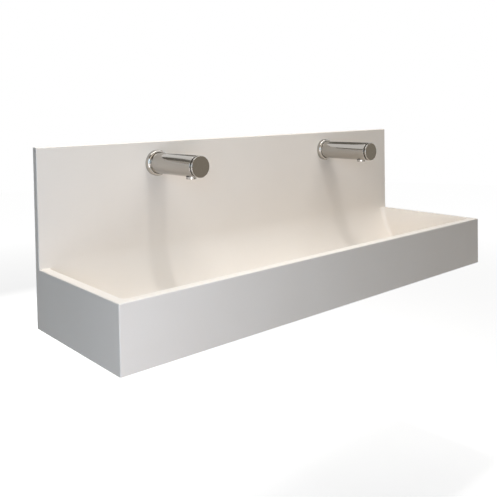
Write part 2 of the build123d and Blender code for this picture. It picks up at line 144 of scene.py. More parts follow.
class WashTroughTaps(bpy.types.PropertyGroup):
    """Sizes of the two taps."""
    axis_z: level("Axis height", "Height of the tap's axis", node_middle("tap_body_left").z)
    face_y: level("Panel face", "Front face of the upstand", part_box("tap_rose_left")[1].y)
    radius: length("Body radius", "Radius of the round body", node_size("tap_body_left", 0) / 2)
    seal: length("Seal thickness", "Seal behind the body", node_size("tap_wall_seal_left", 1))
    front: level("Body front", "Front end of the body", -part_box("tap_body_left")[0].y)
    edge_round: length("Body edge round", "Round of the body's front edge", 0.8 * MM)
    bore: length("Bore radius", "Bore for the valve cartridge", 19 * MM)
    bore_depth: length("Bore depth", "Depth of the bore for the valve cartridge", 78 * MM)
    bore_chamfer: length("Bore chamfer", "Chamfer at the mouth of the bore", 0.4 * MM)
    water_way: length("Water way radius", "Bore between the inlet and the cartridge", 7 * MM)
    tail_hole: length("Inlet hole radius", "Hole that the inlet is screwed into", 10.45 * MM)
    tail_depth: length("Inlet hole depth", "Depth of the hole for the inlet", 24 * MM)
    rose_radius: length("Rose radius", "Radius of the round cover plate", node_size("tap_rose_left", 0) / 2)
    rose_thickness: length("Rose thickness", "Thickness of the cover plate", node_size("tap_rose_left", 1))
    rose_round: length("Rose round", "Round of the cover plate's front edge", 5 * MM)
    rose_gap: length("Rose gap", "Gap between the cover plate and the body", 0.3 * MM)
    button_radius: length("Button radius", "Radius of the push button", node_size("tap_button_left", 0) / 2)
    button_thickness: length("Button thickness", "Thickness of the part of the button that shows", 4 * MM)
    button_round: length("Button round", "Round of the button's front edge", 1 * MM)
    skirt_outer: length("Skirt radius", "Outside of the skirt behind the button", 18.6 * MM)
    skirt_inner: length("Skirt bore", "Inside of the skirt behind the button", 14.1 * MM)
    skirt_chamfer: length("Skirt chamfer", "Chamfer at the back of the skirt", 0.5 * MM)
    spring_radius: length("Spring radius", "Radius to the middle of the spring's wire", 9 * MM)
    spring_wire: length("Spring wire", "Radius of the spring's wire", 0.8 * MM)
    spring_turns: IntProperty(name="Spring turns", description="Turns of the return spring", default=4, min=2)
    nozzle_seat: length("Nozzle seat radius", "Flat cut under the body for the nozzle", 12.6 * MM)
    nozzle_hole: length("Nozzle hole radius", "Hole under the body for the nozzle's stem", 10 * MM)
    nozzle_cut: length("Nozzle seat depth", "How deep the flat under the body is cut", 2.5 * MM)
    nozzle_radius: length("Nozzle radius", "Radius of the nozzle", node_size("tap_nozzle_left", 0) / 2)
    nozzle_stem: length("Nozzle stem radius", "Outside of the nozzle's stem in the body", 9.8 * MM)
    nozzle_bore: length("Nozzle bore radius", "Bore of the nozzle for the flow insert", 8 * MM)
    nozzle_lip: length("Nozzle lip radius", "Opening under the flow insert", 7 * MM)
    nozzle_lip_height: length("Nozzle lip height", "Thickness of the lip under the flow insert", 1.5 * MM)
    nozzle_chamfer: length("Nozzle chamfer", "Chamfer of the nozzle's lower edge", 0.8 * MM)
    nozzle_shoulder: length("Nozzle shoulder", "Height of the nozzle below its stem", 6 * MM)
    grub_hole: length("Grub hole radius", "Hole under the cover plate for its grub screw", 2.15 * MM)
    inlet_bore: length("Inlet bore radius", "Water way through the inlet", 7.2 * MM)
    thread_pitch: length("Inlet thread pitch", "Fourteen threads to the inch", 1.814 * MM)
    thread_depth: length("Inlet thread depth", "Height of the inlet's thread", 1.16 * MM)


class WashTroughWaste(bpy.types.PropertyGroup):
    """Sizes of the outlet in the floor."""
    flange_thickness: length("Flange thickness", "Thickness of the outlet's flange", 3.5 * MM)
    flange_round: length("Flange round", "Polished round of the flange's edge", 0.8 * MM)
    bore: length("Bore radius", "Bore of the outlet", 20 * MM)
    crest: length("Thread radius", "Radius to the crest of the outlet's thread", 23.9 * MM)
    thread_pitch: length("Thread pitch", "Eleven threads to the inch", 2.309 * MM)
    thread_depth: length("Thread depth", "Height of the outlet's thread", 1.45 * MM)
    thread_start: length("Thread start", "Plain length before the thread", 2 * MM)
    thread_end: length("Thread end", "Plain length between the thread and the flange", 3 * MM)
    grid_recess: length("Strainer recess radius", "Recess that the strainer drops into", 30.3 * MM)
    bar_drop: length("Bar drop", "From the underside of the flange to the bar", 7 * MM)
    bar_size: length("Bar size", "Height and width of the bar across the outlet", 6 * MM)
    boss_radius: length("Boss radius", "Round boss in the middle of the bar", 6 * MM)
    screw_hole: length("Screw hole radius", "Threaded hole in the boss", 2.6 * MM)


class WashTroughColours(bpy.types.PropertyGroup):
    """Colours of the finishes."""
    shell: colour("Solid surface", "Off-white filled acrylic", "F1EAE1")
    shell_cloud: colour("Solid surface, darker cast", "The slightly darker cast in the sheet", "ECE4DA")
    chrome: colour("Chrome", "Polished chrome plating", "B4B0AA")
    brass: colour("Brass", "Turned brass", "C8A765")
    strainer: colour("Strainer steel", "Punched and brushed stainless steel", "BFC0C0")
    fixing: colour("Plated steel", "Zinc-plated fixings", "AEB2B6")
    spring: colour("Spring steel", "Drawn spring wire", "8F9092")
    bracket: colour("Bracket coating", "Powder coating of the brackets", "5B5F63")
    rubber: colour("Rubber", "Moulded seals", "1F1F20")
    plastic: colour("Valve plastic", "Moulded valve parts", "E2DFD6")
    floor: colour("Floor", "Pale studio floor", "F4F3F1")


class WashTroughSettings(bpy.types.PropertyGroup):
    """Every size and colour that a user can change."""
    shell: PointerProperty(type=WashTroughShell, name="Shell", description="Sizes of the shell")
    taps: PointerProperty(type=WashTroughTaps, name="Taps", description="Sizes of the taps")
    waste: PointerProperty(type=WashTroughWaste, name="Outlet", description="Sizes of the outlet")
    colours: PointerProperty(type=WashTroughColours, name="Colours", description="Colours of the finishes")


# Shapes


def outline_vertices(bm, points):
    """Vertices of an outline in the XZ plane, from (radius, height) points."""
    return [bm.verts.new((radius, 0, height)) for radius, height in points]


def round_vertex(bm, vertex, size, segments=5):
    """Round one corner of a flat outline, or chamfer it with a single segment."""
    bmesh.ops.bevel(bm, geom=[vertex], offset=size, offset_type="OFFSET", segments=segments, profile=0.5,
                    affect="VERTICES", material=-1)


def lathe(points, rounds=(), closed=True, steps=96):
    """Turn an outline about Z. rounds holds (index of a point, size, segments)."""
    bm = bmesh.new()
    vertices = outline_vertices(bm, points)
    for start, end in zip(vertices, vertices[1:]):
        bm.edges.new((start, end))
    if closed:
        bm.edges.new((vertices[-1], vertices[0]))
    for index, size, segments in rounds:
        round_vertex(bm, vertices[index], size, segments)
    bmesh.ops.spin(bm, geom=bm.verts[:] + bm.edges[:], cent=(0, 0, 0), axis=ALONG_Z, dvec=(0, 0, 0),
                   angle=FULL_TURN, steps=steps, use_merge=True)
    clean(bm)
    return bm


def clean(bm):
    """Merge doubles and turn every face outwards."""
    bmesh.ops.remove_doubles(bm, verts=bm.verts, dist=MERGE / 10)
    bmesh.ops.recalc_face_normals(bm, faces=bm.faces)


def rod(radius, low, high, steps=48):
    """A round bar about Z, for cutting and for joining."""
    return lathe([(0, low), (radius, low), (radius, high), (0, high)], closed=False, steps=steps)


def block(low, high):
    """A box between two corners."""
    bm = bmesh.new()
    bmesh.ops.create_cube(bm, size=1)
    size = [b - a for a, b in zip(low, high)]
    bmesh.ops.scale(bm, vec=size, verts=bm.verts)
    bmesh.ops.translate(bm, vec=[(a + b) / 2 for a, b in zip(low, high)], verts=bm.verts)
    return bm


def carry_round(bm, vertex, centre, angle, steps):
    """Swing a vertex round a centre in the trough's section, leaving an arc of edges, and return its end."""
    swung = bmesh.ops.spin(bm, geom=[vertex], cent=(0, *centre), axis=ALONG_X, dvec=(0, 0, 0), angle=-angle,
                           steps=steps)
    return swung["geom_last"][0]


def carry_straight(bm, vertex, y, z):
    """Draw a straight edge of the trough's section to a new place, and return its end."""
    end = bmesh.ops.extrude_vert_indiv(bm, verts=[vertex])["verts"][0]
    end.co = (0, y, z)
    return end


def sweep_section(bm, half_width):
    """Fill a closed section in the YZ plane and sweep it along X to both sides."""
    bmesh.ops.edgeloop_fill(bm, edges=bm.edges[:])
    bmesh.ops.translate(bm, vec=(-half_width, 0, 0), verts=bm.verts)
    swept = bmesh.ops.extrude_face_region(bm, geom=bm.faces[:])["geom"]
    ends = [item for item in swept if isinstance(item, bmesh.types.BMVert)]
    bmesh.ops.translate(bm, vec=(2 * half_width, 0, 0), verts=ends)
    bmesh.ops.recalc_face_normals(bm, faces=bm.faces)


def bevel_edges(bm, edges, size, segments=4):
    """Round a set of edges."""
    bmesh.ops.bevel(bm, geom=edges, offset=size, offset_type="OFFSET", segments=segments, profile=0.5,
                    affect="EDGES", material=-1, clamp_overlap=True)


def helper_object(bm):
    """A mesh as a short-lived object for a modifier to work with."""
    mesh = bpy.data.meshes.new("helper")
    bm.to_mesh(mesh)
    bm.free()
    helper = bpy.data.objects.new("helper", mesh)
    bpy.context.scene.collection.objects.link(helper)
    return helper


def combine(base, tools):
    """Cut tools from a shape, add them or keep what they share. tools holds (operation, bmesh)."""
    base_object = helper_object(base)
    tool_objects = []
    for operation, tool in tools:
        tool_object = helper_object(tool)
        tool_objects.append(tool_object)
        modifier = base_object.modifiers.new(operation, "BOOLEAN")
        modifier.operation = operation
        modifier.solver = "EXACT"
        modifier.object = tool_object
    graph = bpy.context.evaluated_depsgraph_get()
    evaluated = base_object.evaluated_get(graph)
    result = bmesh.new()
    result.from_mesh(evaluated.to_mesh())
    evaluated.to_mesh_clear()
    for helper in (base_object, *tool_objects):
        mesh = helper.data
        bpy.data.objects.remove(helper)
        bpy.data.meshes.remove(mesh)
    bmesh.ops.remove_doubles(result, verts=result.verts, dist=MERGE)
    bmesh.ops.dissolve_degenerate(result, edges=result.edges, dist=MERGE / 2)
    return result


def merged_copy(node, edge_round, segments):
    """A CAD node's shape with its triangles merged into whole faces, and its edges softened."""
    bm = bmesh.new()
    bm.from_mesh(frame["nodes"][node].data)
    bmesh.ops.remove_doubles(bm, verts=bm.verts, dist=MERGE)
    bmesh.ops.dissolve_limit(bm, angle_limit=SAME_PLANE, verts=bm.verts, edges=bm.edges)
    sharp = [edge for edge in bm.edges if edge.is_manifold and edge.calc_face_angle() > SHARP_EDGE]
    bevel_edges(bm, sharp, edge_round, segments)
    return bm


def add_piece(name, bm, material, body, nodes):
    """Make a finished piece from a mesh: shaded, riding on its body and standing for its CAD nodes."""
    for face in bm.faces:
        face.smooth = True
    for edge in bm.edges:
        edge.smooth = edge.is_manifold and edge.calc_face_angle() < SMOOTH_BELOW
    mesh = bpy.data.meshes.new(name)
    bm.to_mesh(mesh)
    bm.free()
    mesh.materials.append(material)
    piece = bpy.data.objects.new(name, mesh)
    bpy.context.scene.collection.objects.link(piece)
    normals = piece.modifiers.new("Flat faces shade flat", "WEIGHTED_NORMAL")
    normals.keep_sharp = True
    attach(piece, body)
    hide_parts(*nodes)
    return piece


# Finishes


def add_node(tree, kind, inputs=None, **settings):
    """Add a node with its own settings, and give its sockets values or links."""
    node = tree.nodes.new(kind)
    for name, value in settings.items():
        setattr(node, name, value)
    for name, value in (inputs or {}).items():
        if isinstance(value, bpy.types.NodeSocket):
            tree.links.new(value, node.inputs[name])
        else:
            node.inputs[name].default_value = value
    return node


def empty_material(name):
    """A new material without any nodes, and its node tree."""
    material = bpy.data.materials.new(name)
    material.use_nodes = True
    material.node_tree.nodes.clear()
    return material, material.node_tree


def vary_gloss(tree, shader, pattern, smooth, rough, low=0.0, high=1.0):
    """Let a pattern between two of its levels take the surface from smooth to rough."""
    gloss = add_node(tree, "ShaderNodeMapRange", {"Value": pattern, "From Min": low, "From Max": high,
                                                  "To Min": smooth, "To Max": rough})
    shader.inputs["Roughness"].default_value = (smooth + rough) / 2
    tree.links.new(gloss.outputs["Result"], shader.inputs["Roughness"])


def vary_height(tree, shader, pattern, strength, depth):
    """Let a pattern raise and sink the surface."""
    relief = add_node(tree, "ShaderNodeBump", {"Height": pattern, "Strength": strength, "Distance": depth})
    tree.links.new(relief.outputs["Normal"], shader.inputs["Normal"])


def vary_colour(tree, shader, pattern, first, second):
    """Let a pattern take the surface from one colour to another."""
    toned = add_node(tree, "ShaderNodeMix", {0: pattern, 6: first, 7: second}, data_type="RGBA")
    tree.links.new(toned.outputs[2], shader.inputs["Base Color"])


def solid_surface(tree, shader, place, colours):
    """Sanded solid surface: acrylic filled with fine mineral, cast in sheets and sanded to satin.

    The eye sees an even off-white with a soft sheen, a faint cast in the colour over a hand's breadth,
    filler specks that only just show, and a sheen broken by the orbital sander.
    """
    shader.inputs["IOR"].default_value = 1.49
    # The cast in the sheet changes over about 160 mm
    cast = add_node(tree, "ShaderNodeTexNoise", {"Vector": place, "Scale": 1 / 0.16, "Detail": 2.0})
    toned = add_node(tree, "ShaderNodeMix", {0: cast.outputs["Fac"], 6: colours.shell,
                                             7: colours.shell_cloud}, data_type="RGBA")
    # Filler grains are 0.3 mm; drawn at 1.6 mm, the smallest that the render shows
    speck = add_node(tree, "ShaderNodeTexNoise", {"Vector": place, "Scale": 1 / 0.0016, "Detail": 1.0})
    fleck = add_node(tree, "ShaderNodeMapRange", {"Value": speck.outputs["Fac"], "From Min": 0.62,
                                                  "From Max": 0.8, "To Min": 0.0, "To Max": 0.12})
    vary_colour(tree, shader, fleck.outputs["Result"], toned.outputs[2], linear("C9C0B4"))
    # Sander swirls are about 3 mm across
    swirl = add_node(tree, "ShaderNodeTexNoise", {"Vector": place, "Scale": 1 / 0.003, "Detail": 3.0,
                                                  "Distortion": 1.5})
    vary_gloss(tree, shader, swirl.outputs["Fac"], 0.36, 0.48, 0.3, 0.7)
    vary_height(tree, shader, swirl.outputs["Fac"], 0.08, 0.02 * MM)


def chrome(tree, shader, place, colours):
    """Chrome plating: brass turned, polished on a mop and plated.

    The eye sees sharp reflections that waver a little over the polished curve, and a faint film of
    water marks that softens them in patches.
    """
    shader.inputs["Metallic"].default_value = 1.0
    shader.inputs["Base Color"].default_value = colours.chrome
    # Water marks are about 12 mm across
    film = add_node(tree, "ShaderNodeTexNoise", {"Vector": place, "Scale": 1 / 0.012, "Detail": 3.0})
    vary_gloss(tree, shader, film.outputs["Fac"], 0.06, 0.13, 0.35, 0.7)
    # The mop leaves waves about 25 mm long
    wave = add_node(tree, "ShaderNodeTexNoise", {"Vector": place, "Scale": 1 / 0.025, "Detail": 1.0})
    vary_height(tree, shader, wave.outputs["Fac"], 0.35, 0.1 * MM)


def turned_metal(tree, shader, place, metal, roughness, groove):
    """Metal turned on a lathe: fine rings round the work, and a warm or cold colour that varies a little."""
    shader.inputs["Metallic"].default_value = 1.0
    shader.inputs["Roughness"].default_value = roughness
    # A wave node's band repeats every 0.314 of its scaled length
    rings = add_node(tree, "ShaderNodeTexWave", {"Vector": place, "Scale": 0.314 / groove, "Distortion": 0.6,
                                                 "Detail": 2.0}, bands_direction="Y")
    vary_height(tree, shader, rings.outputs["Fac"], 0.3, 0.02 * MM)
    # Tarnish is in patches of about 8 mm
    tarnish = add_node(tree, "ShaderNodeTexNoise", {"Vector": place, "Scale": 1 / 0.008, "Detail": 4.0})
    darker = [channel * 0.8 for channel in metal[:3]] + [1.0]
    vary_colour(tree, shader, tarnish.outputs["Fac"], metal, darker)


def brass(tree, shader, place, colours):
    """Brass turned from bar: warm yellow metal with fine rings from the tool, dulled in patches."""
    turned_metal(tree, shader, place, colours.brass, 0.28, 0.4 * MM)


def spring_steel(tree, shader, place, colours):
    """Spring steel wire: drawn through a die, so dark grey with fine lines and a dull oiled gloss."""
    turned_metal(tree, shader, place, colours.spring, 0.35, 0.3 * MM)


def brushed_steel(tree, shader, place, colours):
    """Stainless steel sheet: punched, then brushed along one way, so its gloss is drawn out in fine lines."""
    shader.inputs["Metallic"].default_value = 1.0
    shader.inputs["Base Color"].default_value = colours.strainer
    # The belt's grit leaves lines about 0.2 mm apart and 12 mm long; drawn 0.5 mm apart to show
    drawn = add_node(tree, "ShaderNodeMapping", {"Vector": place,
                                                 "Scale": (1 / 0.012, 1 / 0.0005, 1 / 0.0005)})
    lines = add_node(tree, "ShaderNodeTexNoise", {"Vector": drawn.outputs["Vector"], "Scale": 1.0,
                                                  "Detail": 2.0})
    vary_gloss(tree, shader, lines.outputs["Fac"], 0.22, 0.42, 0.3, 0.7)
    vary_height(tree, shader, lines.outputs["Fac"], 0.2, 0.02 * MM)


def plated_steel(tree, shader, place, colours):
    """Zinc-plated steel: forged or pressed, then barrel plated, so a soft bluish gloss with a fine bloom."""
    shader.inputs["Metallic"].default_value = 1.0
    # The bloom of the plating is in patches of about 3 mm
    bloom = add_node(tree, "ShaderNodeTexNoise", {"Vector": place, "Scale": 1 / 0.003, "Detail": 4.0})
    vary_colour(tree, shader, bloom.outputs["Fac"], colours.fixing, linear("C3C2B8"))
    vary_gloss(tree, shader, bloom.outputs["Fac"], 0.28, 0.48)


def powder_coat(tree, shader, place, colours):
    """Powder-coated steel: sprayed and baked polyester, so a satin grey skin with shallow dimples."""
    shader.inputs["Base Color"].default_value = colours.bracket
    # The dimples are about 1.5 mm across
    dimple = add_node(tree, "ShaderNodeTexNoise", {"Vector": place, "Scale": 1 / 0.0015, "Detail": 1.0})
    vary_height(tree, shader, dimple.outputs["Fac"], 0.4, 0.06 * MM)
    vary_gloss(tree, shader, dimple.outputs["Fac"], 0.4, 0.52)


def moulded(tree, shader, place, tint, roughness, grain, ior):
    """A moulded part with the fine grain of its tool and a slightly uneven gloss."""
    shader.inputs["Base Color"].default_value = tint
    shader.inputs["IOR"].default_value = ior
    skin = add_node(tree, "ShaderNodeTexNoise", {"Vector": place, "Scale": 1 / grain, "Detail": 3.0})
    vary_gloss(tree, shader, skin.outputs["Fac"], roughness - 0.08, roughness + 0.1)
    vary_height(tree, shader, skin.outputs["Fac"], 0.25, 0.03 * MM)


def rubber(tree, shader, place, colours):
    """Moulded synthetic rubber: nearly black, matt, with the fine bloom of the press tool."""
    moulded(tree, shader, place, colours.rubber, 0.8, 0.6 * MM, 1.52)


def valve_plastic(tree, shader, place, colours):
    """Injection-moulded acetal: off-white, waxy and even, with a soft gloss."""
    moulded(tree, shader, place, colours.plastic, 0.42, 0.9 * MM, 1.48)


FINISHES = {
    "solid_surface": ("sanded_solid_surface", solid_surface),
    "chrome": ("polished_chrome_plating", chrome),
    "brass": ("turned_brass", brass),
    "strainer_steel": ("brushed_stainless_steel", brushed_steel),
    "steel_fixing": ("zinc_plated_steel", plated_steel),
    "spring_steel": ("drawn_spring_steel", spring_steel),
    "bracket_paint": ("powder_coated_steel", powder_coat),
    "seal_rubber": ("moulded_rubber", rubber),
    "valve_plastic": ("moulded_acetal", valve_plastic),
}


def finish(slot):
    """The material of a slot of the record, made when it is first asked for."""
    name, lay_out = FINISHES[slot]
    material = bpy.data.materials.get(name)
    if material is None:
        material, tree = empty_material(name)
        shader = add_node(tree, "ShaderNodeBsdfPrincipled")
        add_node(tree, "ShaderNodeOutputMaterial", {"Surface": shader.outputs["BSDF"]})
        place = add_node(tree, "ShaderNodeTexCoord").outputs["Object"]
        lay_out(tree, shader, place, bpy.context.scene.wash_trough.colours)
    return material


def slot_of(node):
    """The record's material slot of a CAD node."""
    return next(part["material_slot"] for part in frame["record"]["subparts"] if part["node"] == node)


def dress(name, bm, body, *nodes):
    """A piece that stands for CAD nodes and takes the finish of the first of them."""
    slot = slot_of(nodes[0])
    return add_piece(name, bm, finish(slot), body, nodes)


# The shell


def section_points(shell):
    """Levels and centres of the bowl's section that follow from its sizes."""
    floor_z = shell.rim_z - shell.bowl_depth
    cove_z = shell.rim_z + shell.cove_rise
    swing = shell.cove_radius - shell.heel_radius
    turn = math.asin((cove_z - shell.heel_radius - floor_z) / swing)
    cove_centre = (-shell.sheet - shell.cove_radius, cove_z)
    heel_centre = (cove_centre[0] + swing * math.cos(turn), cove_centre[1] - swing * math.sin(turn))
    inner_front = shell.front_y + shell.rim_width
    front_centre = (inner_front + shell.front_radius, floor_z + shell.front_radius)
    return floor_z, cove_z, turn, cove_centre, heel_centre, inner_front, front_centre


def bowl_plug(shell):
    """The open space of the bowl as a solid, with its ends rounded."""
    floor_z, cove_z, turn, cove_centre, heel_centre, inner_front, front_centre = section_points(shell)
    rim_turn = math.asin(shell.cove_rise / shell.cove_radius)
    plug_top = cove_z + 2 * shell.end_radius
    bm = bmesh.new()
    start = bm.verts.new((0, -shell.sheet, plug_top))
    end = carry_straight(bm, start, -shell.sheet, cove_z)
    end = carry_round(bm, end, cove_centre, rim_turn, 3)
    end = carry_round(bm, end, cove_centre, turn - rim_turn, 28)
    end = carry_round(bm, end, heel_centre, QUARTER_TURN - turn, 8)
    end = carry_straight(bm, end, front_centre[0], floor_z)
    end = carry_round(bm, end, front_centre, QUARTER_TURN, 10)
    end = carry_straight(bm, end, inner_front, plug_top)
    bm.edges.new((end, start))
    inner_half = shell.half_length - shell.rim_width
    sweep_section(bm, inner_half - shell.end_radius)
    steps = 6
    for side in (-1, 1):
        cap = max(bm.faces, key=lambda face: side * face.calc_center_median().x)
        for step in range(steps):
            angles = [QUARTER_TURN * (step + more) / steps for more in (0, 1)]
            narrower = shell.end_radius * (math.cos(angles[0]) - math.cos(angles[1]))
            further = shell.end_radius * (math.sin(angles[1]) - math.sin(angles[0]))
            bmesh.ops.inset_region(bm, faces=[cap], thickness=narrower, depth=0, use_even_offset=True,
                                   use_boundary=True)
            bmesh.ops.translate(bm, vec=(side * further, 0, 0), verts=cap.verts)
    bmesh.ops.recalc_face_normals(bm, faces=bm.faces)
    return bm


def outside(shell):
    """The apron and the upstand as one solid, before the bowl is taken out, with its sanded edges."""
    _, cove_z, _, cove_centre, _, _, _ = section_points(shell)
    rim_turn = math.asin(shell.cove_rise / shell.cove_radius)
    bm = bmesh.new()
    start = bm.verts.new((0, -shell.sheet, cove_z))
    end = carry_round(bm, start, cove_centre, rim_turn, 3)
    corners = ((shell.front_y, shell.rim_z), (shell.front_y, shell.bottom_z), (0, shell.bottom_z),
               (0, shell.top_z), (-shell.sheet, shell.top_z))
    for y, z in corners:
        end = carry_straight(bm, end, y, z)
    bm.edges.new((end, start))
    sweep_section(bm, shell.half_length)
    chosen = []
    for edge in bm.edges:
        ends = [vertex.co for vertex in edge.verts]
        along = abs(ends[0].x - ends[1].x) > MM
        at_back = all(co.y > -MM for co in ends)
        at_bottom = all(abs(co.z - shell.bottom_z) < MM for co in ends)
        inner = along and any(-shell.sheet - 2 * MM < co.y and co.z < shell.top_z - MM for co in ends)
        crossing = any(co.y > -MM for co in ends)
        if not (at_back or at_bottom or inner or crossing):
            chosen.append(edge)
    bevel_edges(bm, chosen, shell.outer_round, 5)
    return bm


def space_below(shell):
    """The open space under the floor and behind the cove."""
    floor_z, cove_z, turn, cove_centre, heel_centre, inner_front, _ = section_points(shell)
    past = 5 * MM
    bm = bmesh.new()
    start = bm.verts.new((0, 0, cove_z))
    end = carry_round(bm, start, cove_centre, turn, 32)
    end = carry_round(bm, end, heel_centre, QUARTER_TURN - turn, 8)
    end = carry_straight(bm, end, inner_front, floor_z - shell.sheet)
    end = carry_straight(bm, end, inner_front, shell.bottom_z - past)
    end = carry_straight(bm, end, past, shell.bottom_z - past)
    end = carry_straight(bm, end, past, cove_z)
    bm.edges.new((end, start))
    sweep_section(bm, shell.half_length - shell.rim_width)
    return bm


def outlet_cut(shell):
    """The dish, the recess of the flange and the hole of the outlet, as one cutter."""
    middle = node_middle("waste_flange_seal")
    floor_z = shell.rim_z - shell.bowl_depth
    under_z = floor_z - shell.sheet
    dish_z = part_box("waste_grid")[1].z
    seat_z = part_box("waste_flange_seal")[0].z
    slope = (shell.dish_radius - shell.flange_recess) / (floor_z - dish_z)
    bm = lathe([(0, under_z - CUT_PAST), (shell.outlet_hole, under_z - CUT_PAST), (shell.outlet_hole, seat_z),
                (shell.flange_recess, seat_z), (shell.flange_recess, dish_z),
                (shell.dish_radius + slope * CUT_PAST, floor_z + CUT_PAST), (0, floor_z + CUT_PAST)],
               closed=False)
    bmesh.ops.translate(bm, vec=(middle.x, middle.y, 0), verts=bm.verts)
    return bm


def shell_holes(shell):
    """Cutters for the tap holes and for the blind holes of the threaded inserts."""
    cutters = []
    for side in SIDES:
        hole = rod(shell.tap_hole, -2 * shell.sheet, 2 * shell.sheet)
        turn_to_tap(hole, side)
        cutters.append(("DIFFERENCE", hole))
    low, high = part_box("floor_inserts")
    glue_gap = 0.05 * MM
    insert_radius = shell.insert_hole - glue_gap
    for x in (low.x + insert_radius, high.x - insert_radius):
        for y in (low.y + insert_radius, high.y - insert_radius):
            hole = rod(shell.insert_hole, low.z - CUT_PAST, low.z + shell.insert_depth, 24)
            bmesh.ops.translate(hole, vec=(x, y, 0), verts=hole.verts)
            cutters.append(("DIFFERENCE", hole))
    return cutters


def sand_inner_arris(bm, shell):
    """Round the sharp edge where the flat rim turns down into the bowl."""
    bm.normal_update()
    chosen = []
    for edge in bm.edges:
        on_rim = all(abs(vertex.co.z - shell.rim_z) < 0.02 * MM for vertex in edge.verts)
        if not on_rim or not edge.is_manifold or not edge.is_convex:
            continue
        upward = sorted(abs(face.normal.z) for face in edge.link_faces)
        if upward[0] < 0.2 and upward[1] > 0.98:
            chosen.append(edge)
    bevel_edges(bm, chosen, shell.arris_round, 4)


class WASHTROUGH_OT_shell(bpy.types.Operator):
    """Make the solid-surface shell: apron, rim, bowl and upstand in one seamless piece"""
    bl_idname = "washtrough.shell"
    bl_label = "Solid-surface shell"

    def execute(self, context):
        shell = context.scene.wash_trough.shell
        steps = [("DIFFERENCE", bowl_plug(shell)), ("DIFFERENCE", space_below(shell)),
                 ("DIFFERENCE", outlet_cut(shell)), *shell_holes(shell)]
        bm = combine(outside(shell), steps)
        sand_inner_arris(bm, shell)
        dress("trough_shell", bm, ROOT_BODY, *SHELL_NODES)
        return {"FINISHED"}


# The taps


def turn_to_tap(bm, side):
    """Place a shape drawn outwards along Z at a tap, its start on the upstand's face."""
    taps = bpy.context.scene.wash_trough.taps
    middle = node_middle(f"tap_body_{side}")
    place = Matrix.Translation((middle.x, taps.face_y, taps.axis_z)) @ Matrix.Rotation(QUARTER_TURN, 4, "X")
    bmesh.ops.transform(bm, matrix=place, verts=bm.verts)
    return bm


def stand_at_nozzle(bm, side):
    """Move an upright shape from the origin to the nozzle, its zero level on the tap's axis."""
    taps = bpy.context.scene.wash_trough.taps
    middle = node_middle(f"tap_nozzle_{side}")
    bmesh.ops.translate(bm, vec=(middle.x, middle.y, taps.axis_z), verts=bm.verts)
    return bm


class WASHTROUGH_OT_bodies(bpy.types.Operator):
    """Turn the round tap bodies, bore them and cut the flat that the nozzle sits on"""
    bl_idname = "washtrough.bodies"
    bl_label = "Tap bodies"

    def execute(self, context):
        taps = context.scene.wash_trough.taps
        front = taps.front + taps.face_y
        seat = front - taps.bore_depth
        tail_end = taps.seal + taps.tail_depth
        outline = [(taps.tail_hole, taps.seal), (taps.radius, taps.seal), (taps.radius, front),
                   (taps.bore, front), (taps.bore, seat), (taps.water_way, seat), (taps.water_way, tail_end),
                   (taps.tail_hole, tail_end)]
        for side in SIDES:
            bm = lathe(outline, [(2, taps.edge_round, 4), (3, taps.bore_chamfer, 1)], steps=128)
            turn_to_tap(bm, side)
            below = -taps.radius - CUT_PAST
            seat_cut = rod(taps.nozzle_seat, below, -taps.radius + taps.nozzle_cut, 64)
            stem_cut = rod(taps.nozzle_hole, below, 0, 64)
            cutters = [("DIFFERENCE", stand_at_nozzle(cut, side)) for cut in (seat_cut, stem_cut)]
            dress(f"tap_body_shell_{side}", combine(bm, cutters), ROOT_BODY, f"tap_body_{side}")
        return {"FINISHED"}


class WASHTROUGH_OT_roses(bpy.types.Operator):
    """Turn the round cover plates that hide the holes in the upstand"""
    bl_idname = "washtrough.roses"
    bl_label = "Cover plates"

    def execute(self, context):
        taps = context.scene.wash_trough.taps
        bore = taps.radius + taps.rose_gap
        outline = [(bore, 0), (taps.rose_radius, 0), (taps.rose_radius, taps.rose_thickness),
                   (bore, taps.rose_thickness)]
        for side in SIDES:
            bm = turn_to_tap(lathe(outline, [(2, taps.rose_round, 8), (3, EDGE_BREAK, 2)], steps=128), side)
            hole = rod(taps.grub_hole, -taps.rose_radius - CUT_PAST, 0, 24)
            middle = node_middle(f"tap_grub_screw_{side}")
            bmesh.ops.translate(hole, vec=(middle.x, middle.y, taps.axis_z), verts=hole.verts)
            bm = combine(bm, [("DIFFERENCE", hole)])
            dress(f"tap_cover_plate_{side}", bm, ROOT_BODY, f"tap_rose_{side}")
        return {"FINISHED"}


class WASHTROUGH_OT_buttons(bpy.types.Operator):
    """Turn the push buttons at the ends of the taps, with the skirts that guide them"""
    bl_idname = "washtrough.buttons"
    bl_label = "Push buttons"

    def execute(self, context):
        taps = context.scene.wash_trough.taps
        low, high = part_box("tap_button_left")
        face = taps.face_y - low.y
        skirt_back = taps.face_y - high.y
        back = face - taps.button_thickness
        outline = [(0, back), (taps.skirt_inner, back), (taps.skirt_inner, skirt_back),
                   (taps.skirt_outer, skirt_back), (taps.skirt_outer, back), (taps.button_radius, back),
                   (taps.button_radius, face), (0, face)]
        for side in SIDES:
            rounds = [(6, taps.button_round, 5), (5, EDGE_BREAK, 2), (3, taps.skirt_chamfer, 1)]
            bm = turn_to_tap(lathe(outline, rounds, closed=False, steps=128), side)
            dress(f"tap_push_cap_{side}", bm, f"button_{side}", f"tap_button_{side}")
        return {"FINISHED"}


